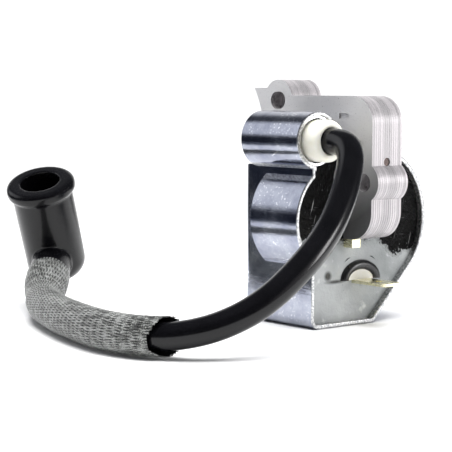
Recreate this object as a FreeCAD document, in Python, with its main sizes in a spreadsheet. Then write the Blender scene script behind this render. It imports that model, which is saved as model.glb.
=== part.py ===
import FreeCAD, Part
import math
import os

# Ignition coil for a small two-stroke engine: a pressed steel can potted round
# the coil, a U-shaped laminated core, and a high-tension lead to an elbow boot.
#
# Row frame: +X along the coil axis towards the can's open rim, +Y along the
# lamination stacking direction, +Z up. The origin is at the middle of the
# coil unit's bounding box, on the surface that it stands on.

doc = FreeCAD.newDocument("ignition_coil")
sheet = doc.addObject("Spreadsheet::Sheet", "Sizes")
V = FreeCAD.Vector
OUT = "parts"
os.makedirs(OUT, exist_ok=True)

# ---------------------------------------------------------------- sizes, mm

SIZES = {
    # can: drawn from 1 mm sheet, closed at the pole end, open at the rim
    "rim_x": 13.0, "can_depth": 26.4, "can_wall": 1.0,
    "front_y": -17.9, "shoulder_z": 41.0, "top_z": 45.6, "top_y": -12.0,
    "arc_y": 4.5, "coil_z": 26.8, "arc_r": 18.8,
    "bulge_y": -8.5, "bulge_z": 27.4, "bulge_r": 14.8, "bulge_depth": 17.5,
    "tube_y": -16.0, "tube_z": 47.6, "tube_r": 7.3, "tube_depth": 21.3,
    "edge_round": 2.4, "window_gap": 0.3, "pot_recess": 1.7,
    # core: interlocked steel sheets, one U with two poles
    "stack": 10.8, "leg_height": 9.0, "top_leg_height": 9.8, "top_leg_z": 49.0,
    "yoke_gap": 0.2, "yoke_width": 8.0, "yoke_round": 7.0,
    "pole_y_radius": 41.0, "pole_centre_x": -59.4, "pole_centre_z": 40.6,
    "shoe_top_z": 60.8, "shoe_x": -25.5,
    "ear_x": -14.2, "ear_z": 57.5, "ear_r": 5.5, "ear_slot_r": 2.3, "ear_slot_run": 1.1,
    "hole_x": 18.4, "hole_z": 37.0, "hole_r": 2.3, "boss_r": 5.1,
    "pin_z": 42.2, "pin_r": 1.1, "pin_depth": 3.0,
    "dimple_depth": 0.35,
    # coil formers and windings, round the core's lower leg
    "former_gap": 0.2, "primary_former_r": 8.0, "former_wall": 1.0,
    "primary_r": 10.0, "coil_back_gap": 1.0, "coil_front_gap": 3.7, "flange": 1.2,
    "paper_wall": 0.4, "secondary_former_r": 11.4, "secondary_r": 14.2, "secondary_flange_r": 15.0,
    # circuit on its board under the coil
    "board_x": -10.5, "board_y": -14.5, "board_z": 2.4, "board_length": 19.0,
    "board_gap": 1.5, "board_thick": 1.2, "cap_length": 9.0, "cap_width": 5.5,
    "cap_height": 5.2, "transistor_r": 2.3, "transistor_height": 4.6,
    "diode_r": 1.2, "diode_length": 4.4, "resistor_r": 1.1, "resistor_length": 6.0,
    # stop terminal: 6.3 mm push-on blade
    "blade_width": 6.3, "blade_thick": 0.8, "blade_length": 10.0, "blade_y": 0.95,
    "blade_z": 11.0, "blade_root": 5.0, "block_r": 7.6, "block_y": 0.75, "block_depth": 3.5,
    "tag_length": 3.0, "tag_width": 3.0, "tag_height": 2.2,
    # outlet: insulating liner, white bushing, spike and lead
    "liner_wall": 0.6, "liner_recess": 0.6, "bushing_gap": 0.4, "bushing_out": 4.5,
    "bushing_in": 9.0, "bushing_lip": 1.4, "lead_r": 3.3, "lead_gap": 0.05,
    "spike_r": 0.8, "spike_length": 7.0, "spike_head_r": 2.4, "conductor_r": 0.8,
    # heat sleeve and elbow boot
    "sleeve_r": 4.75, "sleeve_wall": 0.7, "branch_r": 5.5, "branch_length": 19.0,
    "barrel_r": 8.2, "barrel_bore_r": 5.4, "barrel_up": 23.0, "barrel_down": 7.0,
    "barrel_round": 5.0, "bore_depth": 27.0, "socket_depth": 19.0, "chamber_step": 0.5,
    "bead_r": 9.4, "bead_height": 3.6, "bead_round": 1.4, "lead_in_boot": 13.0,
    "boot_gap": 0.3, "boot_clear": 0.08, "elbow_lean": 5.0, "boot_turn": -7.0,
    "spring_r": 4.4, "spring_wire": 0.9, "spring_height": 7.0,
}

# What follows from them: each coil, board and bushing fits in its own space.
FOLLOWS = {
    "coil_back_x": "(rim_x - can_depth + can_wall + coil_back_gap)",
    "coil_length": "(can_depth - can_wall - coil_back_gap - pot_recess - coil_front_gap)",
    "board_width": "(arc_y + (arc_r - can_wall) * sqrt(2) - coil_z + board_z - board_gap - board_y)",
    "bushing_r": "(tube_r - can_wall - liner_wall - bushing_gap)",
}

for number, (alias, value) in enumerate(SIZES.items(), start=1):
    sheet.set(f"A{number}", alias)
    sheet.set(f"B{number}", str(value))
    sheet.setAlias(f"B{number}", alias)
doc.recompute()


def size(alias):
    """The value of one cell of the sheet."""
    return float(sheet.get(alias))


# ------------------------------------------------------------- small makers


def bind(item, sizes):
    """Binds properties of an object to expressions on the sheet's cells."""
    for name, formula in sizes.items():
        item.setExpression(name, cells(formula))
    return item


def cells(formula):
    """Writes each alias in a formula as a reference to its cell."""
    text = str(formula)
    words, word = [], ""
    for letter in text + " ":
        if letter.isalnum() or letter == "_":
            word += letter
            continue
        if word in FOLLOWS:
            word = cells(FOLLOWS[word])
        words.append(f"Sizes.{word}" if word in SIZES else word)
        words.append(letter)
        word = ""
    return "".join(words).strip()


def place(item, x=0, y=0, z=0, axis=None, angle=0):
    if axis is not None:
        item.Placement = FreeCAD.Placement(V(0, 0, 0), FreeCAD.Rotation(axis, angle))
    return bind(
        item,
        {"Placement.Base.x": x, "Placement.Base.y": y, "Placement.Base.z": z},
    )


def block(name, length, width, height, x, y, z):
    item = doc.addObject("Part::Box", name)
    bind(item, {"Length": length, "Width": width, "Height": height})
    return place(item, x, y, z)


TURN = {"x": (V(0, 1, 0), 90), "y": (V(1, 0, 0), -90), "z": (V(0, 0, 1), 0)}


def rod(name, radius, height, x, y, z, along="x"):
    """A cylinder from a point along +X, +Y or +Z."""
    item = doc.addObject("Part::Cylinder", name)
    bind(item, {"Radius": radius, "Height": height})
    axis, angle = TURN[along]
    return place(item, x, y, z, axis, angle)


def fuse(name, *items):
    item = doc.addObject("Part::MultiFuse", name)
    item.Shapes = list(items)
    item.Refine = True
    return item


def cut(name, base, *tools):
    tool = tools[0] if len(tools) == 1 else fuse(name + "_tools", *tools)
    item = doc.addObject("Part::Cut", name)
    item.Base = base
    item.Tool = tool
    item.Refine = True
    return item


def common(name, one, other):
    item = doc.addObject("Part::Common", name)
    item.Base = one
    item.Tool = other
    return item


def rounded(name, base, radius, chosen):
    """Fillets the edges of a shape for which chosen(edge) is true."""
    doc.recompute()
    numbers = [n for n, e in enumerate(base.Shape.Edges, start=1) if chosen(e)]
    item = doc.addObject("Part::Fillet", name)
    item.Base = base
    item.Edges = [(n, radius, radius) for n in numbers]
    doc.recompute()
    return item


def in_plane(edge, axis, value):
    """True for an edge that lies in the plane where that coordinate has that value."""
    box = edge.BoundBox
    low, high = getattr(box, axis + "Min"), getattr(box, axis + "Max")
    return abs(low - value) < 0.01 and abs(high - value) < 0.01


PARTS = []


def part(item, label):
    item.Label = label
    PARTS.append(item)
    return item


# --------------------------------------------------------------------- can


def can_block(tag, inset, rim):
    """The can's outline, drawn in by an inset, as one solid up to a rim plane."""
    back = f"rim_x - can_depth + {inset}"
    depth = f"{rim} - ({back})"
    slant = f"(coil_z - (arc_r - {inset}) * sqrt(0.5))"
    run = f"({slant} - {inset}) * sqrt(2)"
    foot = f"arc_y + (arc_r - {inset}) * sqrt(0.5) - ({slant} - {inset})"
    drum = rod(f"{tag}_drum", f"arc_r - {inset}", depth, back, "arc_y", "coil_z")
    front = block(
        f"{tag}_front", depth, f"{foot} - (front_y + {inset})", f"shoulder_z - 2 * {inset}",
        back, f"front_y + {inset}", inset,
    )
    top = block(
        f"{tag}_top", depth, "arc_y - top_y", f"top_z - {inset} - coil_z", back, "top_y", "coil_z",
    )
    ramp = doc.addObject("Part::Box", f"{tag}_ramp")
    bind(ramp, {"Length": depth, "Width": run, "Height": "10"})
    place(ramp, back, foot, inset, V(1, 0, 0), 45)
    body = fuse(f"{tag}_body", drum, front, top, ramp)
    radius = size("edge_round") - float(sheet_value(inset))
    far = size("rim_x") - size("can_depth") + float(sheet_value(inset))
    low, side = float(sheet_value(inset)), size("front_y") + float(sheet_value(inset))
    body = rounded(
        f"{tag}_rounded", body, radius,
        lambda e: in_plane(e, "X", far) or (in_plane(e, "Z", low) and in_plane(e, "Y", side)),
    )
    bulge = rod(
        f"{tag}_bulge", f"bulge_r - {inset}", f"{rim} - (rim_x - bulge_depth + {inset})",
        f"rim_x - bulge_depth + {inset}", "bulge_y", "bulge_z",
    )
    tube = rod(
        f"{tag}_tube", f"tube_r - {inset}", f"{rim} - (rim_x - tube_depth + {inset})",
        f"rim_x - tube_depth + {inset}", "tube_y", "tube_z",
    )
    if inset == "0":
        return fuse(f"{tag}_shape", body, bulge, tube)
    throat = block(
        f"{tag}_throat", f"{rim} - (rim_x - tube_depth + {inset})", "top_y - tube_y + 1.5",
        "tube_z - shoulder_z + 5", f"rim_x - tube_depth + {inset}", "tube_y - 0.5",
        "shoulder_z - 5",
    )
    return fuse(f"{tag}_shape", body, bulge, tube, throat)


def sheet_value(formula):
    """An inset is either a number or one cell's name."""
    return size(formula) if formula in SIZES else formula


outer = can_block("outer", "0", "rim_x")
inner = can_block("inner", "can_wall", "rim_x + 1")
window = block(
    "can_window", "can_wall + 2", "stack + 2 * window_gap", "leg_height + 2 * window_gap",
    "rim_x - can_depth - 1", "-stack / 2 - window_gap", "coil_z - leg_height / 2 - window_gap",
)
can = part(cut("can", outer, inner, window), "shield_can")

# -------------------------------------------------------------------- core

YOKE_X = "rim_x + yoke_gap"
YOKE_END = "rim_x + yoke_gap + yoke_width"
LEG_LOW = "coil_z - leg_height / 2"


def core_slab(name, low_x, high_x, low_z, high_z):
    return block(
        name, f"{high_x} - ({low_x})", "stack", f"{high_z} - ({low_z})", low_x, "-stack / 2", low_z
    )


top_leg = core_slab("top_leg", "shoe_x", YOKE_END, "top_leg_z", "top_leg_z + top_leg_height")
low_leg = core_slab("low_leg", "shoe_x", YOKE_END, LEG_LOW, "coil_z + leg_height / 2")
yoke = core_slab("yoke", YOKE_X, YOKE_END, LEG_LOW, "top_leg_z + top_leg_height")
shoe = core_slab("shoe", "shoe_x", "ear_x", "top_leg_z", "shoe_top_z")
ear = rod("ear", "ear_r", "stack", "ear_x", "-stack / 2", "ear_z", "y")
boss = rod("boss", "boss_r", "stack", "hole_x", "-stack / 2", "hole_z", "y")
u_shape = fuse("u_shape", top_leg, low_leg, yoke)
corner_x = size("rim_x") + size("yoke_gap") + size("yoke_width")
u_shape = rounded(
    "u_rounded", u_shape, size("yoke_round"),
    lambda e: in_plane(e, "X", corner_x) and e.BoundBox.YLength > size("stack") - 0.01,
)
steel = fuse("core_steel", u_shape, shoe, ear, boss)
poles = rod(
    "pole_circle", "pole_y_radius", "stack + 2", "pole_centre_x", "-stack / 2 - 1",
    "pole_centre_z", "y",
)
yoke_hole = rod("yoke_hole", "hole_r", "stack + 2", "hole_x", "-stack / 2 - 1", "hole_z", "y")
slot_ends = [
    rod(f"slot_end_{side}", "ear_slot_r", "stack + 2", f"ear_x + {side} * ear_slot_run / 2",
        "-stack / 2 - 1", "ear_z", "y")
    for side in (-1, 1)
]
slot_middle = block(
    "slot_middle", "ear_slot_run", "stack + 2", "2 * ear_slot_r", "ear_x - ear_slot_run / 2",
    "-stack / 2 - 1", "ear_z - ear_slot_r",
)
pin_hole = rod(
    "pin_hole", "pin_r", "pin_depth + 1", f"{YOKE_END} - pin_depth", "0", "pin_z"
)
DIMPLES = ((11.0, 53.7, 3.4, 1.4), (-6.0, 53.7, 3.4, 1.4), (17.4, 46.0, 1.4, 3.2), (2.0, 26.8, 3.4, 1.4))
dimple_cuts = [
    block(f"dimple_{n}", wide, "dimple_depth", tall, f"{x - wide / 2}", "-stack / 2", f"{z - tall / 2}")
    for n, (x, z, wide, tall) in enumerate(DIMPLES, start=1)
]
core = part(
    cut("core", steel, poles, yoke_hole, *slot_ends, slot_middle, pin_hole, *dimple_cuts),
    "core_stack",
)
part(
    rod("pin", "pin_r", "pin_depth - 0.3", f"{YOKE_END} - pin_depth", "0", "pin_z"), "core_pin"
)

# --------------------------------------------------- formers and windings


def ring(name, outer_r, inner_r, x, length):
    solid = rod(f"{name}_solid", outer_r, length, x, "0", "coil_z")
    hollow = rod(f"{name}_hollow", inner_r, f"{length} + 2", f"{x} - 1", "0", "coil_z")
    return cut(name, solid, hollow)


LEG_HOLE = block(
    "leg_hole", "coil_length + 20", "stack + 2 * former_gap", "leg_height + 2 * former_gap",
    "coil_back_x - 10", "-stack / 2 - former_gap", "coil_z - leg_height / 2 - former_gap",
)
sleeve_core = rod("primary_core", "primary_former_r", "coil_length", "coil_back_x", "0", "coil_z")
primary_flanges = [
    rod(f"primary_flange_{n}", "primary_r", "flange", x, "0", "coil_z")
    for n, x in enumerate(("coil_back_x", "coil_back_x + coil_length - flange"))
]
part(
    cut("primary_former", fuse("primary_body", sleeve_core, *primary_flanges), LEG_HOLE),
    "primary_bobbin",
)
part(
    ring("primary", "primary_r", "primary_former_r", "coil_back_x + flange",
         "coil_length - 2 * flange"),
    "primary_winding",
)
part(
    ring("paper", "primary_r + paper_wall", "primary_r", "coil_back_x", "coil_length"),
    "layer_insulation",
)
secondary_tube = rod(
    "secondary_core", "secondary_former_r", "coil_length", "coil_back_x", "0", "coil_z"
)
secondary_flanges = [
    rod(f"secondary_flange_{n}", "secondary_flange_r", "flange", x, "0", "coil_z")
    for n, x in enumerate((
        "coil_back_x", "coil_back_x + coil_length / 2 - flange / 2",
        "coil_back_x + coil_length - flange",
    ))
]
secondary_hole = rod(
    "secondary_hole", "primary_r + paper_wall", "coil_length + 2", "coil_back_x - 1", "0", "coil_z"
)
part(
    cut("secondary_former", fuse("secondary_body", secondary_tube, *secondary_flanges),
        secondary_hole),
    "secondary_bobbin",
)
HALF = "(coil_length - 3 * flange) / 2"
windings = [
    ring(f"secondary_half_{n}", "secondary_r", "secondary_former_r", x, HALF)
    for n, x in enumerate((
        "coil_back_x + flange", "coil_back_x + coil_length / 2 + flange / 2",
    ))
]
secondary = doc.addObject("Part::Compound", "secondary")
secondary.Links = windings
part(secondary, "secondary_winding")

# ----------------------------------------------------------- circuit board

part(
    block("board", "board_length", "board_width", "board_thick", "board_x", "board_y", "board_z"),
    "circuit_board",
)
DECK = "board_z + board_thick"
part(
    block("cap", "cap_length", "cap_width", "cap_height", "board_x + 1", "board_y + 1", DECK),
    "charge_capacitor",
)
part(
    rod("transistor", "transistor_r", "transistor_height", "board_x + cap_length + 5",
        "board_y + 4", DECK, "z"),
    "switching_transistor",
)
part(
    rod("diode", "diode_r", "diode_length", "board_x + 2", "board_y + cap_width + 4",
        f"{DECK} + diode_r"),
    "diode",
)
part(
    rod("resistor", "resistor_r", "resistor_length", "board_x + 9",
        "board_y + cap_width + 6", f"{DECK} + resistor_r"),
    "resistor",
)

# ----------------------------------------------------------- stop terminal

FACE = "rim_x - pot_recess"
BLADE_LOW = "blade_z - blade_thick / 2"
blade = block(
    "blade", "blade_root + pot_recess + blade_length", "blade_width", "blade_thick",
    f"{FACE} - blade_root", "blade_y - blade_width / 2", BLADE_LOW,
)
tip_x = size("rim_x") + size("blade_length")
blade = rounded(
    "blade_tip", blade, 1.2,
    lambda e: in_plane(e, "X", tip_x) and e.BoundBox.ZLength > size("blade_thick") - 0.01,
)
blade_eye = rod("blade_eye", "0.9", "3", "rim_x + blade_length / 2", "blade_y", "blade_z - 1.5", "z")
part(cut("terminal", blade, blade_eye), "stop_terminal")
half_disc = rod(
    "block_disc", "block_r", "block_depth", f"{FACE} - block_depth", "block_y", "blade_z"
)
upper_half = block(
    "block_half", "block_depth + 2", "2 * block_r + 2", "5.8",
    f"{FACE} - block_depth - 1", "block_y - block_r - 1", "blade_z + blade_thick / 2",
)
insulator = part(common("insulator", half_disc, upper_half), "terminal_insulator")
part(
    rod("stop_wire", "0.6", f"blade_z - blade_thick / 2 - ({DECK})", "board_x + board_length - 1",
        "blade_y - blade_width / 2 + 0.8", DECK, "z"),
    "stop_wire",
)

# --------------------------------------------------------------- earth tag

part(
    block("tag", "tag_length", "tag_width", "tag_height", FACE, "-tag_width - 2.2",
          f"{LEG_LOW} - tag_height"),
    "earth_tag",
)

# ------------------------------------------------------------------ outlet

TUBE_IN = "tube_r - can_wall"
TUBE_BACK = "rim_x - tube_depth + can_wall"


def sleeve_ring(name, outer_r, inner_r, x, length):
    solid = rod(f"{name}_solid", outer_r, length, x, "tube_y", "tube_z")
    hollow = rod(f"{name}_hollow", inner_r, f"{length} + 2", f"{x} - 1", "tube_y", "tube_z")
    return cut(name, solid, hollow)


part(
    sleeve_ring("liner", TUBE_IN, f"{TUBE_IN} - liner_wall", "rim_x - bushing_in",
                "bushing_in - liner_recess"),
    "tube_insulator",
)
bushing = sleeve_ring(
    "bushing_raw", "bushing_r", "lead_r + lead_gap", "rim_x - bushing_in",
    "bushing_in + bushing_out",
)
lip_x = size("rim_x") + size("bushing_out")
part(
    rounded("bushing", bushing, min(size("bushing_lip"), 0.9),
            lambda e: in_plane(e, "X", lip_x)),
    "outlet_bushing",
)
root = rod("root_solid", "lead_r", "bushing_in + bushing_out", "rim_x - bushing_in", "tube_y", "tube_z")
root_hole = rod("root_hole", "spike_r", "bushing_in + bushing_out + 2", "rim_x - bushing_in - 1",
                "tube_y", "tube_z")
part(cut("root", root, root_hole), "lead_root")
spike = rod("spike_pin", "spike_r", "spike_length", "rim_x - bushing_in", "tube_y", "tube_z")
spike_head = rod("spike_head", "spike_head_r", "1.5", "rim_x - bushing_in - 1.5", "tube_y", "tube_z")
part(fuse("spike", spike, spike_head), "lead_spike")
lean = math.atan2(-size("tube_y"), size("tube_z") - size("coil_z"))
SPAN = "sqrt(tube_y * tube_y + (tube_z - coil_z) * (tube_z - coil_z))"


def leaning_rod(name, from_axis, to_axis):
    """A rod from a radius about the coil axis to a radius about the tube axis."""
    item = doc.addObject("Part::Cylinder", name)
    bind(item, {"Radius": "0.5", "Height": f"{SPAN} - ({from_axis}) - ({to_axis})"})
    return place(
        item, "rim_x - bushing_in - 0.75", f"({from_axis}) * tube_y / {SPAN}",
        f"coil_z + ({from_axis}) * (tube_z - coil_z) / {SPAN}", V(1, 0, 0), math.degrees(lean),
    )


part(leaning_rod("output_wire", "secondary_r", "spike_head_r"), "output_wire")
wire_channel = leaning_rod("wire_channel", "secondary_r - 0.3", "spike_head_r - 0.3")

# ----------------------------------------------------------------- potting

fill = can_block("fill", "can_wall", FACE)
former_body = doc.getObject("secondary_body")
EMBEDDED = (
    "core_stack", "secondary_winding", "circuit_board", "charge_capacitor",
    "switching_transistor", "diode", "resistor", "stop_terminal", "terminal_insulator",
    "stop_wire", "tube_insulator", "outlet_bushing", "lead_spike",
)
by_label = {item.Label: item for item in PARTS}
root_plug = doc.getObject("root_solid")
pieces = [by_label[label] for label in EMBEDDED] + [wire_channel, former_body, root_plug]
potting = fill
for number, piece in enumerate(pieces, start=1):
    potting = cut(f"potting_{number}", potting, piece)
part(potting, "potting_compound")

# ---------------------------------------------------- lead and heat sleeve

# The lead's route in the row frame, from the bushing's face to the boot's mouth.
ROUTE = [
    (17.5, -16, 47.6), (22, -16, 47.6), (26, -17.5, 45), (28.5, -20.5, 40.5),
    (31.5, -25.5, 34.5), (34.5, -33, 27), (36, -43, 19.5), (35, -53, 12.2),
    (31.5, -62.5, 7.5), (25.5, -70, 5.2), (18, -74.5, 4.75), (7.5, -76.5, 4.75),
    (-4, -75, 4.75), (-16.5, -72, 4.75), (-28.5, -68, 4.75), (-39.5, -63.5, 4.8),
    (-48.2, -58.1, 5.2), (-53.5, -53.5, 7.8),
]
ROUTE = [V(*point) for point in ROUTE]
SLEEVE_RUN = 9
ARC_SHARE = 0.45


def bend(before, corner, after):
    """The two ends, the middle and the radius of the arc at one point of the route."""
    back, on = (before - corner), (after - corner)
    setback = ARC_SHARE * min(back.Length, on.Length)
    back.normalize()
    on.normalize()
    half = (math.pi - back.getAngle(on)) / 2
    radius = setback / math.tan(half)
    inward = (back + on).normalize()
    centre = corner + inward * (radius / math.cos(half))
    return corner + back * setback, centre - inward * radius, corner + on * setback, radius


def path(points, first_run=0, cut_back=0.0, run_on=0.0):
    """Straight runs joined by tangent arcs, from the middle of a later run if one is given."""
    arcs = [bend(*points[n - 1 : n + 2]) for n in range(1, len(points) - 1)]
    heading = (points[-1] - points[-2]).normalize()
    here = points[0] if first_run == 0 else (points[first_run] + points[first_run + 1]) * 0.5
    edges = []
    for enter, middle, leave, _ in arcs[first_run:]:
        edges.append(Part.LineSegment(here, enter).toShape())
        edges.append(Part.Arc(enter, middle, leave).toShape())
        here = leave
    end = points[-1] + heading * (run_on - cut_back)
    edges.append(Part.LineSegment(here, end).toShape())
    return Part.Wire(edges), arcs


def tube(wire, radius):
    start = wire.OrderedEdges[0]
    tangent = start.tangentAt(start.FirstParameter)
    ring_edge = Part.makeCircle(radius, start.valueAt(start.FirstParameter), tangent)
    solid = wire.makePipeShell([Part.Wire([ring_edge])], True, True)
    due = math.pi * radius**2 * wire.Length
    share = abs(solid.Volume) / due
    print(f"tube of radius {radius:g}: length {wire.Length:.1f}, volume {share:.4f} of its due")
    return solid


def shaped(name, shape, label):
    item = doc.addObject("Part::Feature", name)
    item.Shape = shape
    return part(item, label)


lead_path, arcs = path(ROUTE, run_on=size("lead_in_boot"))
print("arc radii", [round(arc[3], 1) for arc in arcs])
print("free length", round(path(ROUTE)[0].Length, 1))
core_path, _ = path(ROUTE, run_on=size("lead_in_boot") + 1.4)
conductor = tube(core_path, size("conductor_r"))
stub_length = size("bushing_in") + size("bushing_out") - size("spike_length")
stub = Part.makeCylinder(size("conductor_r"), stub_length, ROUTE[0], V(-1, 0, 0))
conductor = conductor.fuse(stub).removeSplitter()
shaped("lead", tube(lead_path, size("lead_r")).cut(conductor), "ht_lead")
shaped("conductor", conductor, "lead_conductor")
sleeve_path, _ = path(ROUTE, first_run=SLEEVE_RUN, cut_back=size("boot_gap"))
sleeve_in = size("sleeve_r") - size("sleeve_wall")
shaped(
    "sleeve", tube(sleeve_path, size("sleeve_r")).cut(tube(sleeve_path, sleeve_in)), "heat_sleeve"
)

# -------------------------------------------------------------- elbow boot

# Made with its branch along +X from the origin and its barrel up, leaning back a little.
def upright(name, radius, height, rise):
    """A cylinder on the barrel's axis, from a height above the middle of the elbow."""
    item = doc.addObject("Part::Cylinder", name)
    bind(item, {"Radius": radius, "Height": height})
    return place(
        item, f"branch_length - ({rise}) * sin(elbow_lean)", "0", f"({rise}) * cos(elbow_lean)",
        V(0, 1, 0), -size("elbow_lean"),
    )


barrel = upright("barrel", "barrel_r", "barrel_up + barrel_down", "-barrel_down")
barrel = rounded(
    "barrel_round", barrel, size("barrel_round"),
    lambda e: e.BoundBox.Center.z < 0 and len(e.Vertexes) == 1,
)
branch = rod("branch", "branch_r", "branch_length", "0", "0", "0")
bead = upright("bead", "bead_r", "bead_height", "barrel_up - bead_height")
bead = rounded("bead_round", bead, size("bead_round"), lambda e: len(e.Vertexes) == 1)
socket = upright("socket", "barrel_bore_r", "socket_depth + 1", "barrel_up - socket_depth")
chamber = upright(
    "chamber", "barrel_bore_r - chamber_step", "bore_depth", "barrel_up - bore_depth"
)
lead_bore = rod("lead_bore", "lead_r + boot_clear", "branch_length + 1", "-1", "0", "0")
boot = part(
    cut("boot", fuse("boot_body", barrel, branch, bead), socket, chamber, lead_bore), "plug_boot"
)

coil_r = size("spring_r") - size("spring_wire") / 2
turns = Part.makeHelix(1.9, size("spring_height"), coil_r)
ring_edge = Part.makeCircle(size("spring_wire") / 2, V(coil_r, 0, 0), V(0, 1, 0))
spring = Part.Wire(turns.Edges).makePipeShell([Part.Wire([ring_edge])], True, True)
spring_item = shaped("spring", spring, "contact_spring")


def on_barrel(rise):
    """A place on the barrel's axis, in the boot's own frame."""
    lean = FreeCAD.Rotation(V(0, 1, 0), -size("elbow_lean"))
    lean = FreeCAD.Placement(V(size("branch_length"), 0, 0), lean)
    return lean.multiply(FreeCAD.Placement(V(0, 0, rise), FreeCAD.Rotation()))


heading = (ROUTE[-1] - ROUTE[-2]).normalize()
yaw = math.degrees(math.atan2(heading.y, heading.x))
pitch = math.degrees(math.asin(heading.z))
turn = FreeCAD.Rotation(V(0, 0, 1), yaw).multiply(FreeCAD.Rotation(V(0, 1, 0), -pitch))
turn = turn.multiply(FreeCAD.Rotation(V(1, 0, 0), size("boot_turn")))
boot.Placement = FreeCAD.Placement(ROUTE[-1], turn)
spring_item.Placement = boot.Placement.multiply(
    on_barrel(size("barrel_up") - size("bore_depth") + 0.5)
)
mouth = boot.Placement.multiply(on_barrel(size("barrel_up") - size("socket_depth") / 2))
print("boot axis", [round(value, 4) for value in heading])
print("socket middle", [round(value, 6) for value in mouth.Base])
print("socket axis", [round(value, 7) for value in mouth.Rotation.multVec(V(0, 0, 1))])

# ------------------------------------------------------------------ output

doc.recompute()
for item in doc.Objects:
    if "Invalid" in item.State or "Error" in item.State:
        raise RuntimeError(f"{item.Name} did not build: {item.State}")
for item in PARTS:
    shape = item.Shape
    if shape.isNull() or not shape.isValid():
        raise RuntimeError(f"{item.Label} has no valid shape")
    shape.exportStep(f"{OUT}/{item.Label}.step")
    print(f"{item.Label}: {len(shape.Solids)} solid(s), {shape.Volume:.1f} cubic mm")
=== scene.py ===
import math
import random

import bmesh
import bpy
from mathutils import Matrix, Vector


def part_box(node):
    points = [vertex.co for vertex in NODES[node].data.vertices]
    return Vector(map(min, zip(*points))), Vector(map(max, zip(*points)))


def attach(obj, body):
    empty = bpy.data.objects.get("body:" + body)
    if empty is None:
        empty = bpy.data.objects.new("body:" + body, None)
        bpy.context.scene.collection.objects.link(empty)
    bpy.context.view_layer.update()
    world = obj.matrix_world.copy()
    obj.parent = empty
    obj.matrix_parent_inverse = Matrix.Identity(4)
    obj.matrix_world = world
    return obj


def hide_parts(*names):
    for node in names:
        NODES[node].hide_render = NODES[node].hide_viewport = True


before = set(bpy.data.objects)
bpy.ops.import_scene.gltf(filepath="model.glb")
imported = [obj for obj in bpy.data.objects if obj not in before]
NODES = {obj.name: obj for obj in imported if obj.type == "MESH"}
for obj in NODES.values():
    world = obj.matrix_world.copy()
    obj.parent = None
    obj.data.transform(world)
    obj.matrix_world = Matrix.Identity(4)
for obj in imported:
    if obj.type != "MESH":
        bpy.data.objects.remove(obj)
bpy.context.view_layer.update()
random.seed(7)

# ------------------------------------------------------------------ camera

EYE = Vector((0.2893, -0.2780, 0.0601))
EYE_AZIMUTH = 50.0
EYE_PITCH = 5.11
EYE_ROLL = 0.3
FOCAL = 121.0


def make_camera():
    """The viewpoint: turned, tipped down and rolled a little."""
    data = bpy.data.cameras.new("camera")
    data.lens = FOCAL
    data.sensor_width = 36.0
    data.clip_start = 0.01
    camera = bpy.data.objects.new("camera", data)
    bpy.context.collection.objects.link(camera)
    turn = Matrix.Rotation(math.radians(EYE_AZIMUTH), 4, "Z")
    tip = Matrix.Rotation(math.radians(90.0 - EYE_PITCH), 4, "X")
    roll = Matrix.Rotation(math.radians(EYE_ROLL), 4, "Z")
    camera.matrix_world = Matrix.Translation(EYE) @ turn @ tip @ roll
    bpy.context.scene.camera = camera


make_camera()

# --------------------------------------------------------- lead and its line

LEAD_RADIUS = 0.0033
ROUTE = [
    (0.0175, -0.016, 0.0476), (0.022, -0.016, 0.0476), (0.026, -0.0175, 0.045),
    (0.0285, -0.0205, 0.0405), (0.0315, -0.0255, 0.0345), (0.0345, -0.033, 0.027),
    (0.036, -0.043, 0.0195), (0.035, -0.053, 0.0122), (0.0315, -0.0625, 0.0075),
    (0.0255, -0.070, 0.0052), (0.018, -0.0745, 0.00475), (0.0075, -0.0765, 0.00475),
    (-0.004, -0.075, 0.00475), (-0.0165, -0.072, 0.00475), (-0.0285, -0.068, 0.00475),
    (-0.0395, -0.0635, 0.0048), (-0.0482, -0.0581, 0.0052), (-0.0535, -0.0535, 0.0078),
]
ROUTE = [Vector(point) for point in ROUTE]
SLEEVE_RUN = 9
HEADING = (ROUTE[-1] - ROUTE[-2]).normalized()


def route_curve(name, bevel):
    """The lead's route as one open curve with a round section."""
    curve = bpy.data.curves.new(name, "CURVE")
    curve.dimensions = "3D"
    spline = curve.splines.new("NURBS")
    spline.points.add(len(ROUTE) - 1)
    for point, place in zip(spline.points, ROUTE):
        point.co = (*place, 1.0)
    spline.order_u = 3
    spline.use_endpoint_u = True
    spline.resolution_u = 24
    curve.bevel_depth = bevel
    curve.bevel_resolution = 12
    obj = bpy.data.objects.new(name, curve)
    bpy.context.collection.objects.link(obj)
    return obj


def route_line():
    """Points along the route's own spline."""
    bare = route_curve("bare_route", 0.0)
    mesh = bpy.data.meshes.new_from_object(bare)
    line = [v.co.copy() for v in mesh.vertices]
    bpy.data.meshes.remove(mesh)
    bpy.data.objects.remove(bare)
    return line


def spaced(line, step):
    """The same line with evenly spaced points."""
    lengths = [0.0]
    for a, b in zip(line, line[1:]):
        lengths.append(lengths[-1] + (b - a).length)
    count = max(2, round(lengths[-1] / step))
    out, k = [], 0
    for n in range(count + 1):
        want = lengths[-1] * n / count
        while k < len(line) - 2 and lengths[k + 1] < want:
            k += 1
        share = (want - lengths[k]) / max(lengths[k + 1] - lengths[k], 1e-9)
        out.append(line[k].lerp(line[k + 1], share))
    return out


LINE = route_line()

# --------------------------------------------------------------- node tools

CAN_MIDDLE = Vector((0.012, 0.0, 0.026))


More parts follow.
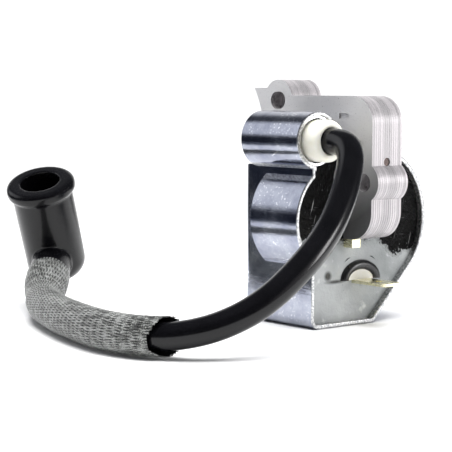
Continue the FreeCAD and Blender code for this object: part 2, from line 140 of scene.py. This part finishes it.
class Paint:
    """A material whose colour, roughness and bump come from nodes."""

    def __init__(self, name):
        self.material = bpy.data.materials.new(name)
        self.material.use_nodes = True
        self.tree = self.material.node_tree
        self.shader = next(n for n in self.tree.nodes if n.type == "BSDF_PRINCIPLED")
        self.place = self.tree.nodes.new("ShaderNodeTexCoord").outputs["Object"]

    def node(self, kind, inputs=(), **settings):
        node = self.tree.nodes.new("ShaderNode" + kind)
        for key, value in settings.items():
            setattr(node, key, value)
        for key, value in dict(inputs).items():
            self.put(node.inputs[key], value)
        return node

    def put(self, socket, value):
        if isinstance(value, bpy.types.NodeSocket):
            self.tree.links.new(value, socket)
        else:
            socket.default_value = value

    def set(self, name, value):
        self.put(self.shader.inputs[name], value)

    def noise(self, scale, detail=4.0, rough=0.55, place=None):
        node = self.node("TexNoise", {"Scale": scale, "Detail": detail, "Roughness": rough})
        self.put(node.inputs["Vector"], place or self.place)
        return node.outputs["Fac"]

    def stretched(self, x, y, z):
        scaled = self.node("Mapping", {"Vector": self.place, "Scale": (x, y, z)})
        return scaled.outputs["Vector"]

    def ramp(self, value, low, high, start=0.0, end=1.0):
        node = self.node(
            "MapRange",
            {"Value": value, "From Min": low, "From Max": high, "To Min": start, "To Max": end},
        )
        node.clamp = True
        return node.outputs["Result"]

    def math(self, operation, a, b=0.0):
        node = self.node("Math", operation=operation)
        self.put(node.inputs[0], a)
        self.put(node.inputs[1], b)
        return node.outputs[0]

    def mix(self, share, one, two):
        node = self.node("Mix", data_type="RGBA")
        self.put(node.inputs[0], share)
        self.put(node.inputs[6], one if not isinstance(one, tuple) else (*one, 1.0))
        self.put(node.inputs[7], two if not isinstance(two, tuple) else (*two, 1.0))
        return node.outputs[2]

    def bump(self, height, strength, distance):
        node = self.node("Bump", {"Height": height, "Strength": strength, "Distance": distance})
        self.set("Normal", node.outputs["Normal"])
        return node

    def mix_value(self, share, one, two):
        node = self.node("Mix", data_type="FLOAT")
        self.put(node.inputs[0], share)
        self.put(node.inputs[2], one)
        self.put(node.inputs[3], two)
        return node.outputs[0]

    def axis(self, name):
        return self.node("SeparateXYZ", {"Vector": self.place}).outputs[name]

    def facing_in(self):
        """One on walls that face the can's middle, nought on its outer side."""
        shape = self.node("NewGeometry")
        away = self.node("VectorMath", operation="SUBTRACT")
        self.put(away.inputs[0], self.place)
        self.put(away.inputs[1], CAN_MIDDLE)
        dot = self.node("VectorMath", operation="DOT_PRODUCT")
        self.put(dot.inputs[0], away.outputs[0])
        self.put(dot.inputs[1], shape.outputs["Normal"])
        return self.ramp(dot.outputs["Value"], -0.001, -0.003)

    def scratches(self, strength=0.8):
        """Sparse fine lines, two sets across each other."""
        total = 0.0
        for turn in (0.4, 1.9):
            turned = self.node("Mapping", {"Vector": self.place, "Rotation": (turn, turn, 0.3)})
            spread = self.node(
                "Mapping", {"Vector": turned.outputs["Vector"], "Scale": (1.0, 30.0, 1.0)}
            )
            field = self.noise(90.0, 2.0, 0.5, spread.outputs["Vector"])
            patch = self.ramp(self.noise(160.0, 2.0, 0.5), 0.52, 0.62)
            mark = self.math("MULTIPLY", self.ramp(field, 0.69, 0.73, 0.0, strength), patch)
            total = self.math("ADD", total, mark)
        return total

    def blot(self, centre, squeeze, inner, outer):
        """One soft spot about a point, stretched along the axes squeezed less."""
        away = self.node("VectorMath", operation="SUBTRACT")
        self.put(away.inputs[0], self.place)
        self.put(away.inputs[1], tuple(centre))
        scaled = self.node("VectorMath", operation="MULTIPLY")
        self.put(scaled.inputs[0], away.outputs[0])
        self.put(scaled.inputs[1], squeeze)
        size = self.node("VectorMath", operation="LENGTH")
        self.put(size.inputs[0], scaled.outputs[0])
        return self.ramp(size.outputs["Value"], inner, outer, 1.0, 0.0)


RIM_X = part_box("shield_can")[1].x
RAW_BAND = 0.0003
RAW_FADE = 0.00022


def can_steel():
    """Dark bright plate, cloudy and scratched, with raw pale edges at the rim."""
    p = Paint("can_steel")
    cloud = p.noise(120.0, 6.0, 0.65)
    fine = p.noise(1700.0, 3.0, 0.6)
    drawn = p.noise(700.0, 3.0, 0.6, p.stretched(0.10, 1.0, 1.0))
    tone = p.mix(p.ramp(cloud, 0.35, 0.68), (0.22, 0.235, 0.30), (0.42, 0.44, 0.50))
    wear = p.math("MULTIPLY", p.ramp(fine, 0.60, 0.70), p.ramp(cloud, 0.46, 0.60))
    tone = p.mix(p.math("ADD", wear, p.scratches()), tone, (0.90, 0.91, 0.95))
    near_rim = p.ramp(p.axis("X"), RIM_X - RAW_BAND, RIM_X - RAW_BAND + RAW_FADE)
    edge = p.math("MAXIMUM", near_rim, p.facing_in())
    raw = p.mix(p.ramp(fine, 0.4, 0.6), (0.30, 0.31, 0.32), (0.72, 0.72, 0.72))
    p.set("Base Color", p.mix(edge, tone, raw))
    p.set("Metallic", 1.0)
    p.set("Roughness", p.mix_value(edge, p.ramp(cloud, 0.3, 0.75, 0.09, 0.22), 0.42))
    ripple = p.math("ADD", p.math("MULTIPLY", cloud, 2.2), drawn)
    p.bump(p.math("ADD", ripple, p.math("MULTIPLY", fine, 0.35)), 0.30, 0.00007)
    return p.material


def core_steel():
    """Pale sheet steel: each sheet its own tone, its faces clouded; front faces painted light
    near the top and painted shade lower down.
    """
    p = Paint("core_steel")
    each = p.node("NewGeometry").outputs["Random Per Island"]
    cloud = p.noise(260.0, 5.0, 0.6)
    grain = p.noise(2400.0, 3.0, 0.6)
    tone = p.mix(p.ramp(cloud, 0.3, 0.7), (0.44, 0.42, 0.432), (0.56, 0.53, 0.545))
    tone = p.mix(p.ramp(each, 0.0, 1.0, 0.0, 0.55), tone, (0.24, 0.235, 0.24))
    # Front faces carry painted light and shade: pale towards the top, dark lower down and
    # towards +X, where the tube's shadow falls on the yoke.
    normal = p.node("NewGeometry").outputs["Normal"]
    front = p.ramp(p.node("SeparateXYZ", {"Vector": normal}).outputs["Y"], -0.8, -0.95)
    rise = p.math("SUBTRACT", p.axis("Z"), p.math("MULTIPLY", p.axis("X"), 0.6))
    shade = p.mix(p.ramp(rise, 0.018, 0.048), (0.12, 0.12, 0.12), (0.90, 0.89, 0.89))
    tone = p.mix(front, tone, shade)
    p.set("Base Color", p.mix(p.ramp(grain, 0.62, 0.76), tone, (0.22, 0.21, 0.21)))
    p.set("Metallic", 0.45)
    p.set("Roughness", p.ramp(cloud, 0.3, 0.7, 0.40, 0.52))
    p.bump(grain, 0.22, 0.00005)
    return p.material


SPOT = Vector((0.0113, -0.0107, 0.0129))
DARK_STREAK = Vector((0.0113, -0.0082, 0.0113))
RESIN_LINE = 0.0244
RESIN_FADE = 0.0024
RESIN_DROOP = 0.0040


def potting():
    """Smooth lower face painted grey, a painted reflection of the bright room in glossy black
    resin; rough black resin round the coil above.
    """
    p = Paint("potting")
    wave = p.noise(200.0, 5.0, 0.62)
    soft = p.noise(70.0, 2.0, 0.5)
    grain = p.noise(1500.0, 4.0, 0.65)
    droop = p.ramp(p.axis("Y"), 0.006, 0.013, 0.0, RESIN_DROOP)
    height = p.math("ADD", p.math("ADD", p.axis("Z"), droop), p.math("MULTIPLY", wave, 0.007))
    line = p.ramp(height, RESIN_LINE, RESIN_LINE + RESIN_FADE)
    speckle = p.ramp(p.math("ADD", line, p.ramp(grain, 0.3, 0.7, -0.5, 0.5)), 0.44, 0.56)
    # The grey and its lighter patches are painted reflection: the glossy black resin mirroring
    # the bright surroundings.
    grey = p.mix(p.ramp(soft, 0.35, 0.65), (0.20, 0.215, 0.215), (0.38, 0.395, 0.395))
    grey = p.mix(p.ramp(wave, 0.60, 0.72), grey, (0.52, 0.53, 0.53))
    black = p.mix(p.ramp(grain, 0.64, 0.74), (0.0005, 0.0005, 0.0005), (0.012, 0.012, 0.010))
    tone = p.mix(speckle, grey, black)
    # A dark spot and a dark horizontal streak are mixed into the resin face.
    tone = p.mix(p.blot(SPOT, (0.9, 1.0, 1.0), 0.0007, 0.0016), tone, (0.01, 0.01, 0.01))
    tone = p.mix(p.blot(DARK_STREAK, (0.3, 0.16, 1.0), 0.0002, 0.0007), tone, (0.02, 0.02, 0.02))
    lines = p.math("MULTIPLY", p.scratches(0.55), speckle)
    p.set("Base Color", p.mix(lines, tone, (0.5, 0.5, 0.5)))
    p.set("Roughness", p.ramp(speckle, 0.0, 1.0, 0.26, 0.14))
    p.set("Specular IOR Level", p.ramp(speckle, 0.0, 1.0, 0.45, 0.09))
    lumps = p.math("ADD", grain, p.math("MULTIPLY", p.noise(520.0, 3.0, 0.6), 2.5))
    rough = p.math("MULTIPLY", lumps, p.ramp(line, 0.0, 1.0, 0.02, 1.0))
    p.bump(p.math("ADD", wave, rough), 0.9, 0.0005)
    return p.material


def rubber(name, tone, rough, ripple):
    """Glossy moulded rubber with faint ripples and dust."""
    p = Paint(name)
    wave = p.noise(180.0, 3.0, 0.5)
    dust = p.noise(2600.0, 4.0, 0.7)
    dark = tuple(0.6 * value for value in tone)
    p.set("Base Color", p.mix(p.ramp(wave, 0.3, 0.7), dark, tone))
    p.set("Roughness", p.ramp(dust, 0.35, 0.8, rough, rough + 0.16))
    p.set("Specular IOR Level", 0.22)
    p.set("Coat Weight", 0.12)
    p.set("Coat Roughness", 0.12)
    p.bump(p.math("ADD", wave, p.math("MULTIPLY", dust, 0.12)), ripple, 0.0002)
    return p.material


def nylon(name, pale, warm):
    """Slightly translucent moulded plastic, clouded from one shade to the other."""
    p = Paint(name)
    wave = p.noise(300.0, 3.0, 0.5)
    grain = p.noise(3000.0, 2.0, 0.5)
    p.set("Base Color", p.mix(p.ramp(wave, 0.35, 0.7), pale, warm))
    p.set("Roughness", p.ramp(grain, 0.3, 0.7, 0.32, 0.45))
    p.set("Subsurface Weight", 0.1)
    p.set("Subsurface Radius", (0.002, 0.0016, 0.001))
    p.bump(grain, 0.06, 0.00005)
    return p.material


def metal(name, low, high, rough):
    """Bare metal with fine drawn lines."""
    p = Paint(name)
    wave = p.noise(600.0, 4.0, 0.6)
    line = p.noise(1800.0, 2.0, 0.5, p.stretched(0.15, 1.0, 1.0))
    p.set("Base Color", p.mix(p.ramp(wave, 0.3, 0.7), low, high))
    p.set("Metallic", 1.0)
    p.set("Roughness", p.ramp(line, 0.3, 0.7, rough, rough + 0.12))
    p.bump(line, 0.12, 0.00003)
    return p.material


def plastic(name, low, high, rough):
    """Dull material, mottled between two shades."""
    p = Paint(name)
    wave = p.noise(700.0, 4.0, 0.6)
    p.set("Base Color", p.mix(p.ramp(wave, 0.35, 0.7), low, high))
    p.set("Roughness", p.ramp(wave, 0.3, 0.7, rough, rough + 0.15))
    p.bump(wave, 0.1, 0.00005)
    return p.material


def braid():
    """Glass-fibre yarn: pale and grey filaments with dark gaps."""
    p = Paint("braid")
    fibre = p.noise(3600.0, 4.0, 0.7)
    patch = p.noise(420.0, 4.0, 0.65)
    each = p.node("NewGeometry").outputs["Random Per Island"]
    tone = p.mix(p.ramp(patch, 0.32, 0.68), (0.022, 0.024, 0.022), (0.10, 0.105, 0.10))
    tone = p.mix(p.ramp(fibre, 0.52, 0.62), tone, (0.46, 0.47, 0.44))
    tone = p.mix(p.ramp(fibre, 0.46, 0.38), tone, (0.006, 0.006, 0.006))
    streak = p.noise(1100.0, 3.0, 0.6, p.stretched(0.10, 1.0, 1.0))
    tone = p.mix(p.ramp(streak, 0.50, 0.60, 0.0, 0.55), tone, (0.36, 0.37, 0.36))
    tone = p.mix(p.ramp(streak, 0.46, 0.38, 0.0, 0.7), tone, (0.008, 0.008, 0.008))
    pale = p.ramp(each, 0.60, 1.0, 0.0, 0.30)
    p.set("Base Color", p.mix(pale, tone, (0.40, 0.41, 0.40)))
    p.set("Roughness", p.ramp(fibre, 0.3, 0.7, 0.35, 0.6))
    p.set("Sheen Weight", 0.3)
    p.bump(fibre, 0.5, 0.00008)
    return p.material


CAN = can_steel()
CORE = core_steel()
POTTING = potting()
LEAD = rubber("lead_rubber", (0.004, 0.004, 0.005), 0.15, 0.05)
BOOT = rubber("boot_rubber", (0.004, 0.004, 0.005), 0.17, 0.10)
WHITE = nylon("white_nylon", (0.88, 0.87, 0.80), (0.82, 0.80, 0.68))
YELLOW = metal("brass_plate", (0.80, 0.74, 0.44), (0.93, 0.89, 0.66), 0.22)
PIN = metal("pin_steel", (0.05, 0.04, 0.04), (0.14, 0.11, 0.10), 0.3)
STEEL = metal("spring_steel", (0.55, 0.55, 0.57), (0.78, 0.78, 0.79), 0.2)
COPPER = metal("copper_wire", (0.55, 0.24, 0.10), (0.72, 0.36, 0.18), 0.25)
PAPER = plastic("paper", (0.60, 0.46, 0.26), (0.74, 0.60, 0.36), 0.6)
BOARD = plastic("board", (0.04, 0.16, 0.06), (0.08, 0.24, 0.10), 0.35)
CHIP = plastic("component", (0.02, 0.02, 0.02), (0.06, 0.05, 0.05), 0.35)
SEAL = plastic("seal", (0.004, 0.004, 0.004), (0.012, 0.012, 0.012), 0.25)
FORMER = plastic("former_nylon", (0.05, 0.05, 0.055), (0.12, 0.12, 0.125), 0.4)
BRAID = braid()
# Near-black painted shade for the inside of the sleeve, not a layer of the real sleeve.
PAINTED_SHADE = plastic("sleeve_painted_shade", (0.012, 0.012, 0.012), (0.035, 0.035, 0.034), 0.6)

COVER = {
    "shield_can": CAN, "core_stack": CORE, "core_pin": PIN, "potting_compound": POTTING,
    "primary_bobbin": FORMER, "secondary_bobbin": FORMER, "primary_winding": COPPER,
    "secondary_winding": COPPER, "layer_insulation": PAPER, "circuit_board": BOARD,
    "charge_capacitor": CHIP, "switching_transistor": CHIP, "diode": CHIP, "resistor": PAPER,
    "stop_terminal": YELLOW, "terminal_insulator": WHITE, "stop_wire": COPPER,
    "earth_tag": YELLOW, "tube_insulator": STEEL, "outlet_bushing": WHITE,
    "lead_root": LEAD, "lead_spike": YELLOW, "output_wire": COPPER, "ht_lead": LEAD,
    "lead_conductor": COPPER, "heat_sleeve": BRAID, "plug_boot": BOOT,
    "contact_spring": STEEL,
}
for name, cover in COVER.items():
    NODES[name].data.materials.clear()
    NODES[name].data.materials.append(cover)

# ------------------------------------------------------------- mesh helpers


def new_piece(name, bm, cover, body, smooth=True):
    """A finished piece from a mesh; normals copied from the CAD no longer fit its faces."""
    mesh = bpy.data.meshes.new(name)
    bm.to_mesh(mesh)
    bm.free()
    copied = mesh.attributes.get("custom_normal")
    if copied:
        mesh.attributes.remove(copied)
    for face in mesh.polygons:
        face.use_smooth = smooth
    mesh.materials.append(cover)
    obj = bpy.data.objects.new(name, mesh)
    bpy.context.collection.objects.link(obj)
    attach(obj, body)
    return obj


def revolved(bm, profile, centre, axis="X", steps=96):
    """Adds a closed surface turned from (along, radius) points about an axis."""
    rings = []
    for n in range(steps):
        a = 2 * math.pi * n / steps
        row = []
        for along, radius in profile:
            p = {
                "X": (along, radius * math.cos(a), radius * math.sin(a)),
                "Z": (radius * math.cos(a), radius * math.sin(a), along),
            }[axis]
            row.append(bm.verts.new(Vector(p) + Vector(centre)))
        rings.append(row)
    for n in range(steps):
        one, two = rings[n], rings[(n + 1) % steps]
        for k in range(len(profile)):
            m = (k + 1) % len(profile)
            bm.faces.new((one[k], one[m], two[m], two[k]))
    bmesh.ops.recalc_face_normals(bm, faces=bm.faces)


def arc(cx, cy, radius, start, end, steps=8):
    """Points of an arc from one angle to another, in degrees."""
    out = []
    for n in range(steps + 1):
        a = math.radians(start + (end - start) * n / steps)
        out.append((cx + radius * math.cos(a), cy + radius * math.sin(a)))
    return out


# -------------------------------------------------------------------- lead

lead = route_curve("lead_cover", LEAD_RADIUS)
lead.data.materials.append(LEAD)
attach(lead, "coil_unit")
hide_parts("ht_lead")

# ------------------------------------------------------------------ sleeve

SLEEVE_RADIUS = 0.0047
BRANCH_RADIUS = 0.0055
OVERLAP = 0.0045
MOUTH_SLANT = 0.0030
MOUTH_LEAD = 0.0050
MOUTH_AT = 0.0035
MOUTH_FRAY = 0.0003
TAPER = 0.010
EASE = 0.00028
HALF_WALL = 0.00012
FACING = Vector((0.766, -0.643, 0.0))


def sleeve_axis(step):
    """Evenly spaced frames down the sleeve, the last stretch over the boot's branch."""
    mouth = (ROUTE[SLEEVE_RUN] + ROUTE[SLEEVE_RUN + 1]) / 2
    first = min(range(len(LINE)), key=lambda n: (LINE[n] - mouth).length)
    while (LINE[first] - mouth).length < MOUTH_LEAD:
        first -= 1
    line = [p.copy() for p in LINE[first:]]
    line.append(line[-1] + HEADING * OVERLAP)
    points = spaced(line, step)
    frames, across = [], None
    for n, point in enumerate(points):
        ahead = points[min(n + 1, len(points) - 1)] - points[max(n - 1, 0)]
        ahead.normalize()
        if across is None:
            across = (FACING - ahead * FACING.dot(ahead)).normalized()
        across = (across - ahead * across.dot(ahead)).normalized()
        frames.append((point, across, ahead.cross(across)))
    return frames


def sleeve_radius(back):
    """The sleeve's middle radius at a distance back from its boot end."""
    over = BRANCH_RADIUS + EASE
    t = min(max((back - OVERLAP) / TAPER, 0.0), 1.0)
    share = t * t * (3 - 2 * t)
    return over + (SLEEVE_RADIUS - HALF_WALL - over) * share


def mouth_at(angle):
    """How far down the line the sleeve begins: later on the side that its cut faces."""
    return MOUTH_AT + MOUTH_SLANT * math.cos(angle) + MOUTH_FRAY * math.cos(3 * angle + 1)


YARNS = 44
PITCH = 0.20
YARN_HALF = 0.55
YARN_EDGE = -0.00006
YARN_CROWN = 0.00003
WEAVE = 0.00009
STEP = 0.00045
# Sides and depth of the dark tube of painted shade inside the sleeve.
SHADE_SIDES = 48
SHADE_DEPTH = 0.00024


def make_yarn(bm, frames, yarn, way):
    """One flat yarn wound down the sleeve, passing over and under the others."""
    length = STEP * (len(frames) - 1)
    before = None
    for n, (point, across, up) in enumerate(frames):
        s = STEP * n
        turn = 2 * math.pi * (yarn / YARNS + way * s / PITCH)
        if s < mouth_at(turn):
            continue
        cross = yarn + way * 2 * YARNS * s / PITCH
        lift = way * WEAVE * math.cos(math.pi * (cross + yarn))
        base = sleeve_radius(length - s) + lift
        row = []
        for side, dip in ((-1, YARN_EDGE), (0, YARN_CROWN), (1, YARN_EDGE)):
            a = turn + side * YARN_HALF * math.pi / YARNS
            radius = base + dip
            offset = across * (radius * math.cos(a)) + up * (radius * math.sin(a))
            row.append(bm.verts.new(point + offset))
        if before:
            for k in (0, 1):
                bm.faces.new((before[k], before[k + 1], row[k + 1], row[k]))
        before = row


def make_cover(frames):
    """The woven yarns, wound both ways."""
    bm = bmesh.new()
    for way in (1, -1):
        for yarn in range(YARNS):
            make_yarn(bm, frames, yarn, way)
    return new_piece("sleeve_braid", bm, BRAID, "coil_unit")


def make_shade_sleeve(frames):
    """A dark tube just inside the yarns, painted shade standing for the shade inside the
    sleeve, seen between the yarns and in the sleeve's mouth.
    """
    length = STEP * (len(frames) - 1)
    bm = bmesh.new()
    rings = []
    for n, (point, across, up) in enumerate(frames):
        s = STEP * n
        radius = sleeve_radius(length - s) - SHADE_DEPTH
        ring = []
        for k in range(SHADE_SIDES):
            a = 2 * math.pi * k / SHADE_SIDES
            if s < mouth_at(a):
                ring.append(None)
                continue
            offset = across * (radius * math.cos(a)) + up * (radius * math.sin(a))
            ring.append(bm.verts.new(point + offset))
        rings.append(ring)
    for one, two in zip(rings, rings[1:]):
        for k in range(SHADE_SIDES):
            m = (k + 1) % SHADE_SIDES
            corners = (one[k], one[m], two[m], two[k])
            if None not in corners:
                bm.faces.new(corners)
    loose = [v for v in bm.verts if not v.link_faces]
    bmesh.ops.delete(bm, geom=loose, context="VERTS")
    return new_piece("sleeve_painted_shade", bm, PAINTED_SHADE, "coil_unit")


sleeve_frames = sleeve_axis(STEP)
sleeve = make_cover(sleeve_frames)
shade_sleeve = make_shade_sleeve(sleeve_frames)
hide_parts("heat_sleeve")

# -------------------------------------------------------------------- boot


BOOT_GRAIN = 0.00028
BOOT_SMOOTHING = 10


def make_boot():
    """The boot's solid with its joins and edges softened as moulded rubber."""
    mesh = NODES["plug_boot"].data.copy()
    obj = bpy.data.objects.new("boot_cover", mesh)
    bpy.context.collection.objects.link(obj)
    remesh = obj.modifiers.new("remesh", "REMESH")
    remesh.mode = "VOXEL"
    remesh.voxel_size = BOOT_GRAIN
    smooth = obj.modifiers.new("smooth", "SMOOTH")
    smooth.factor = 0.5
    smooth.iterations = BOOT_SMOOTHING
    graph = bpy.context.evaluated_depsgraph_get()
    soft = bpy.data.meshes.new_from_object(obj.evaluated_get(graph))
    obj.modifiers.clear()
    obj.data = soft
    for face in soft.polygons:
        face.use_smooth = True
    soft.materials.clear()
    soft.materials.append(BOOT)
    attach(obj, "elbow_boot")
    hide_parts("plug_boot")
    return obj


boot = make_boot()

# --------------------------------------------------------------------- can

RIM_WEAR = 0.00028
SHARP = 14.0


def make_can():
    """The can's solid with the cut edges of its sheet rounded over."""
    bm = bmesh.new()
    bm.from_mesh(NODES["shield_can"].data)
    bmesh.ops.remove_doubles(bm, verts=bm.verts, dist=1e-6)
    facing = [f for f in bm.faces if f.normal.x > 0.99]
    flat = [f for f in facing if abs(f.calc_center_median().x - RIM_X) < 1e-5]
    chosen = set()
    for face in flat:
        for edge in face.edges:
            if sum(other in flat for other in edge.link_faces) == 1:
                chosen.add(edge)
    bmesh.ops.bevel(
        bm, geom=list(chosen), offset=RIM_WEAR, offset_type="OFFSET", segments=2, profile=0.5,
        affect="EDGES", clamp_overlap=True,
    )
    can = new_piece("can_cover", bm, CAN, "coil_unit")
    can.data.set_sharp_from_angle(angle=math.radians(SHARP))
    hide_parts("shield_can")


make_can()

# ----------------------------------------------------------- outlet bushing


BUSHING_ROUND = 0.0012
BUSHING_LIP = 0.0005
BUSHING_GAP = 0.00006


def make_bushing():
    """The white collar, rounded outside and at the hole that the lead leaves by."""
    low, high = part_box("outlet_bushing")
    centre = (0.0, (low.y + high.y) / 2, (low.z + high.z) / 2)
    outer, inner = (high.y - low.y) / 2, LEAD_RADIUS + BUSHING_GAP
    end = high.x
    profile = [(low.x, inner), (low.x, outer)]
    profile += arc(end - BUSHING_ROUND, outer - BUSHING_ROUND, BUSHING_ROUND, 90, 0)
    profile += arc(end - BUSHING_LIP, inner + BUSHING_LIP, BUSHING_LIP, 0, -90)
    bm = bmesh.new()
    revolved(bm, profile, centre)
    obj = new_piece("bushing_cover", bm, WHITE, "coil_unit")
    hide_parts("outlet_bushing")


make_bushing()

# -------------------------------------------------------- stop blade's seal

SEAL_WIDE = 0.0057
SEAL_TALL = 0.0038
SEAL_THICK = 0.0013
SEAL_STEPS = 40
SEAL_SIDES = 12
PLATE_STEPS = 32
BED_SPREAD = 1.10


def half_plate(name, wide, tall, back, front, cover):
    """A flat half round plate, set from the insulator's face, straight side down."""
    low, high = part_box("terminal_insulator")
    middle = (low.y + high.y) / 2
    bm = bmesh.new()
    rows = []
    for x in (back, front):
        row = []
        for n in range(PLATE_STEPS + 1):
            a = math.pi * n / PLATE_STEPS
            place = (high.x + x, middle + wide * math.cos(a), low.z + tall * math.sin(a))
            row.append(bm.verts.new(place))
        rows.append(row)
    for n in range(PLATE_STEPS + 1):
        m = (n + 1) % (PLATE_STEPS + 1)
        bm.faces.new((rows[0][n], rows[0][m], rows[1][m], rows[1][n]))
    bm.faces.new(rows[1])
    bm.faces.new(rows[0][::-1])
    bmesh.ops.recalc_face_normals(bm, faces=bm.faces)
    return new_piece(name, bm, cover, "coil_unit", False)


def make_lip():
    """The seal's dark round edge, arched over the white plate."""
    low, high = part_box("terminal_insulator")
    middle = (low.y + high.y) / 2
    bm = bmesh.new()
    before = None
    for n in range(SEAL_STEPS + 1):
        a = math.pi * n / SEAL_STEPS
        row = []
        for k in range(SEAL_SIDES):
            b = 2 * math.pi * k / SEAL_SIDES
            reach = SEAL_THICK * math.cos(b)
            y = middle + (SEAL_WIDE + reach) * math.cos(a)
            z = low.z + (SEAL_TALL + reach) * math.sin(a)
            row.append(bm.verts.new((high.x + SEAL_THICK * math.sin(b), y, z)))
        if before:
            for k in range(SEAL_SIDES):
                m = (k + 1) % SEAL_SIDES
                bm.faces.new((before[k], before[m], row[m], row[k]))
        before = row
    bmesh.ops.recalc_face_normals(bm, faces=bm.faces)
    new_piece("seal_lip", bm, SEAL, "coil_unit")


def make_seal():
    """A white plate under a dark lip, with resin over the rest of the insulator's place."""
    low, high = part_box("terminal_insulator")
    wide = BED_SPREAD * (high.y - low.y) / 2
    tall = BED_SPREAD * (high.z - low.z)
    half_plate("seal_bed", wide, tall, -0.003, 0.00002, POTTING)
    white = half_plate("seal_face", SEAL_WIDE, SEAL_TALL, -0.002, 0.0003, WHITE)
    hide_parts("terminal_insulator")
    make_lip()


make_seal()

# -------------------------------------------------------------- laminations

SHEETS = 14
SEAM = 0.00007
SLIP = 0.00002


def make_laminations():
    """Slices the core's solid into its sheets, with a fine seam between them."""
    low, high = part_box("core_stack")
    thick = (high.y - low.y) / SHEETS
    for n in range(SHEETS):
        near, far = low.y + n * thick, low.y + (n + 1) * thick - SEAM
        bm = bmesh.new()
        bm.from_mesh(NODES["core_stack"].data)
        bmesh.ops.remove_doubles(bm, verts=bm.verts, dist=1e-6)
        for at, way in ((near + 1e-7, -1), (far, 1)):
            if n == 0 and way < 0:
                continue
            geometry = bm.verts[:] + bm.edges[:] + bm.faces[:]
            done = bmesh.ops.bisect_plane(
                bm, geom=geometry, plane_co=(0, at, 0), plane_no=(0, way, 0), clear_outer=True
            )
            edges = [e for e in done["geom_cut"] if isinstance(e, bmesh.types.BMEdge)]
            bmesh.ops.triangle_fill(bm, use_beauty=True, edges=edges)
        slip = Vector((random.uniform(-1, 1), 0.0, random.uniform(-1, 1))) * SLIP
        bmesh.ops.translate(bm, verts=bm.verts, vec=slip)
        bmesh.ops.recalc_face_normals(bm, faces=bm.faces)
        sheet = new_piece(f"core_sheet_{n + 1}", bm, CORE, "coil_unit", False)
        if n == 0:
            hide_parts("core_stack")


make_laminations()

# ------------------------------------------------------------------- stage


FLOOR_SIDE = Vector((-0.521, -0.860, 0.0))
FLOOR_EDGE = 0.15
FLOOR_FADE = 0.05
FLOOR_RADIUS = 0.30
FLOOR_DROP = 0.0002


def make_floor():
    """A pale disc, dimmer out to the side that the plate mirrors."""
    bm = bmesh.new()
    bmesh.ops.create_circle(bm, cap_ends=True, segments=96, radius=FLOOR_RADIUS)
    mesh = bpy.data.meshes.new("floor")
    bm.to_mesh(mesh)
    bm.free()
    p = Paint("floor_paint")
    pale = p.mix(p.noise(30.0), (0.92, 0.92, 0.92), (0.95, 0.95, 0.95))
    out = p.node("VectorMath", operation="DOT_PRODUCT")
    p.put(out.inputs[0], p.place)
    p.put(out.inputs[1], tuple(FLOOR_SIDE))
    far = p.ramp(out.outputs["Value"], FLOOR_EDGE, FLOOR_EDGE + FLOOR_FADE)
    p.set("Base Color", p.mix(far, pale, (0.10, 0.11, 0.13)))
    p.set("Roughness", 0.9)
    p.set("Specular IOR Level", 0.1)
    mesh.materials.append(p.material)
    floor = bpy.data.objects.new("floor", mesh)
    floor.location = (0.0, 0.0, -FLOOR_DROP)
    bpy.context.collection.objects.link(floor)


SKY = (0.10, 0.105, 0.12)
PATCHES = [
    # direction, cosine where it ends, cosine where it is full, colour
    ((-0.766, 0.60, 0.10), 0.70, 0.93, (1.15, 1.15, 1.15)),
    ((0.80, 0.55, -0.10), 0.74, 0.95, (0.75, 0.72, 0.74)),
    ((-0.68, -0.56, 0.46), 0.87, 0.96, (1.30, 1.32, 1.38)),
    ((-0.75, -0.66, -0.10), 0.92, 0.985, (0.03, 0.035, 0.05)),
    ((0.74, -0.66, 0.10), 0.55, 0.85, (0.012, 0.012, 0.016)),
]


def make_world():
    """A dim room with a white backdrop, a bright side and a dark side."""
    world = bpy.data.worlds.new("world")
    bpy.context.scene.world = world
    world.use_nodes = True
    tree = world.node_tree
    back = next(n for n in tree.nodes if n.type == "BACKGROUND")
    place = tree.nodes.new("ShaderNodeTexCoord")
    colour = (*SKY, 1.0)
    for aim, end, full, tone in PATCHES:
        dot = tree.nodes.new("ShaderNodeVectorMath")
        dot.operation = "DOT_PRODUCT"
        tree.links.new(place.outputs["Generated"], dot.inputs[0])
        dot.inputs[1].default_value = tuple(Vector(aim).normalized())
        share = tree.nodes.new("ShaderNodeMapRange")
        share.interpolation_type = "SMOOTHSTEP"
        tree.links.new(dot.outputs["Value"], share.inputs["Value"])
        share.inputs["From Min"].default_value = end
        share.inputs["From Max"].default_value = full
        mix = tree.nodes.new("ShaderNodeMix")
        mix.data_type = "RGBA"
        tree.links.new(share.outputs["Result"], mix.inputs[0])
        if isinstance(colour, tuple):
            mix.inputs[6].default_value = colour
        else:
            tree.links.new(colour, mix.inputs[6])
        mix.inputs[7].default_value = (*tone, 1.0)
        colour = mix.outputs[2]
    tree.links.new(colour, back.inputs["Color"])
    back.inputs["Strength"].default_value = 1.0


LIGHTS = [
    # name, place, aim, width, height, power, whether it shows in reflections
    ("top", (0.05, -0.05, 0.60), (0, -0.02, 0.0), 0.60, 0.60, 9.0, False),
    ("side", (0.42, 0.33, 0.14), (0, -0.02, 0.03), 0.12, 0.20, 1.1, True),
]


def area_light(name, place, aim, width, height, power, glossy):
    data = bpy.data.lights.new(name, "AREA")
    data.shape = "RECTANGLE"
    data.size = width
    data.size_y = height
    data.energy = power
    light = bpy.data.objects.new(name, data)
    light.location = place
    light.rotation_mode = "QUATERNION"
    light.rotation_quaternion = (Vector(aim) - Vector(place)).to_track_quat("-Z", "Y")
    light.visible_glossy = glossy
    bpy.context.collection.objects.link(light)


make_floor()
make_world()
for light in LIGHTS:
    area_light(*light)
bpy.context.scene.view_settings.view_transform = "Standard"
